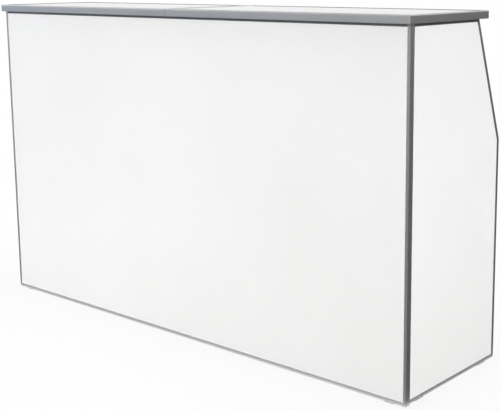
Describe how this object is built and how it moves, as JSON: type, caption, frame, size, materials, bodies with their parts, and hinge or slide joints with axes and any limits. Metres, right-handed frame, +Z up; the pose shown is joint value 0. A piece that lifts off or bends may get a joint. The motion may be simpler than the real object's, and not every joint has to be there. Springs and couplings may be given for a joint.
{
  "type": "folding portable bar",
  "caption": "Folding portable bar: white panels in aluminium edge trims, hinged sides that fold in behind the front, a lift-off counter hinged at its seam and a flip-up shelf.",
  "frame": {"origin": "on the floor, under the middle of the bar's bounding box", "axes": "+X along the counter to the right as a guest sees it, +Y from the guests' side to the bartender's side, +Z up"},
  "size_m": [1.829, 0.502, 1.0936],
  "materials": {
    "white_laminate": "white high-pressure laminate on plywood, smooth semi-gloss",
    "satin_aluminium": "satin anodised extrusion, faint lengthwise grain",
    "hinge_steel": "zinc-plated rolled steel",
    "white_coat": "white powder coat on steel, of the shelf brackets and the counter hinge",
    "foot_rubber": "matt black rubber",
    "grey_plastic": "moulded grey nylon, fine matt"
  },
  "bodies": {
    "front": {"front_panel_board": "white_laminate", "front_trim_left": "satin_aluminium", "front_trim_right": "satin_aluminium", "front_trim_top": "satin_aluminium", "front_trim_bottom": "satin_aluminium", "front_glide_left": "grey_plastic", "front_glide_right": "grey_plastic", "counter_dowel_left": "hinge_steel", "counter_dowel_right": "hinge_steel", "left_hinge_fixed_leaf": "hinge_steel", "left_hinge_pin": "hinge_steel", "right_hinge_fixed_leaf": "hinge_steel", "right_hinge_pin": "hinge_steel", "shelf_hinge_fixed_leaf": "hinge_steel", "shelf_hinge_pin": "hinge_steel", "shelf_hold_magnet": "grey_plastic", "left_bracket_wall_plate": "white_coat", "left_bracket_pin": "hinge_steel", "right_bracket_wall_plate": "white_coat", "right_bracket_pin": "hinge_steel", "left_turn_block": "grey_plastic", "right_turn_block": "grey_plastic"},
    "left_side": {"left_side_board": "white_laminate", "left_side_trim_bottom": "satin_aluminium", "left_side_trim_rear": "satin_aluminium", "left_side_trim_slope": "satin_aluminium", "left_side_trim_top": "satin_aluminium", "left_hinge_moving_leaf": "hinge_steel", "left_side_foot_front": "foot_rubber", "left_side_foot_rear": "foot_rubber"},
    "right_side": {"right_side_board": "white_laminate", "right_side_trim_bottom": "satin_aluminium", "right_side_trim_rear": "satin_aluminium", "right_side_trim_slope": "satin_aluminium", "right_side_trim_top": "satin_aluminium", "right_hinge_moving_leaf": "hinge_steel", "right_side_foot_front": "foot_rubber", "right_side_foot_rear": "foot_rubber"},
    "counter_right": {"counter_right_board": "white_laminate", "counter_right_trim_front": "satin_aluminium", "counter_right_trim_end": "satin_aluminium", "counter_right_trim_rear": "satin_aluminium", "counter_hinge_right_leaf": "white_coat", "counter_hinge_pin": "white_coat", "counter_seam_batten": "satin_aluminium"},
    "counter_left": {"counter_left_board": "white_laminate", "counter_left_trim_front": "satin_aluminium", "counter_left_trim_end": "satin_aluminium", "counter_left_trim_rear": "satin_aluminium", "counter_hinge_left_leaf": "white_coat"},
    "shelf": {"shelf_board": "white_laminate", "shelf_trim_left": "satin_aluminium", "shelf_trim_rear": "satin_aluminium", "shelf_trim_right": "satin_aluminium", "shelf_hinge_moving_leaf": "hinge_steel", "shelf_strike_plate": "hinge_steel"},
    "left_bracket": {"left_bracket_arm": "white_coat"},
    "right_bracket": {"right_bracket_arm": "white_coat"},
    "left_button": {"left_turn_button": "grey_plastic"},
    "right_button": {"right_turn_button": "grey_plastic"}
  },
  "joints": [
    {"name": "left_side_fold", "type": "hinge", "parent": "front", "child": "left_side", "pos_m": [-0.883, -0.2115, 0.54], "axis": [0, 0, -1], "range_deg": [0, 90]},
    {"name": "right_side_fold", "type": "hinge", "parent": "front", "child": "right_side", "pos_m": [0.883, -0.2115, 0.54], "axis": [0, 0, 1], "range_deg": [0, 90]},
    {"name": "counter_lift", "type": "slide", "parent": "front", "child": "counter_right", "axis": [0, 0, 1], "range_m": [0, 0.35]},
    {"name": "counter_flap", "type": "hinge", "parent": "counter_right", "child": "counter_left", "pos_m": [-0.018, -0.045, 1.0922], "axis": [0, 1, 0], "range_deg": [0, 180]},
    {"name": "shelf_flip", "type": "hinge", "parent": "front", "child": "shelf", "pos_m": [0, -0.2115, 0.6424], "axis": [1, 0, 0], "range_deg": [0, 90]},
    {"name": "left_bracket_swing", "type": "hinge", "parent": "front", "child": "left_bracket", "pos_m": [-0.3655, -0.2038, 0.54], "axis": [0, 0, -1], "range_deg": [0, 90]},
    {"name": "right_bracket_swing", "type": "hinge", "parent": "front", "child": "right_bracket", "pos_m": [0.3655, -0.2038, 0.54], "axis": [0, 0, 1], "range_deg": [0, 90]},
    {"name": "left_button_turn", "type": "hinge", "parent": "front", "child": "left_button", "pos_m": [-0.4085, -0.185, 0.215], "axis": [0, 1, 0], "range_deg": [0, 90]},
    {"name": "right_button_turn", "type": "hinge", "parent": "front", "child": "right_button", "pos_m": [0.4085, -0.185, 0.215], "axis": [0, -1, 0], "range_deg": [0, 90]}
  ]
}
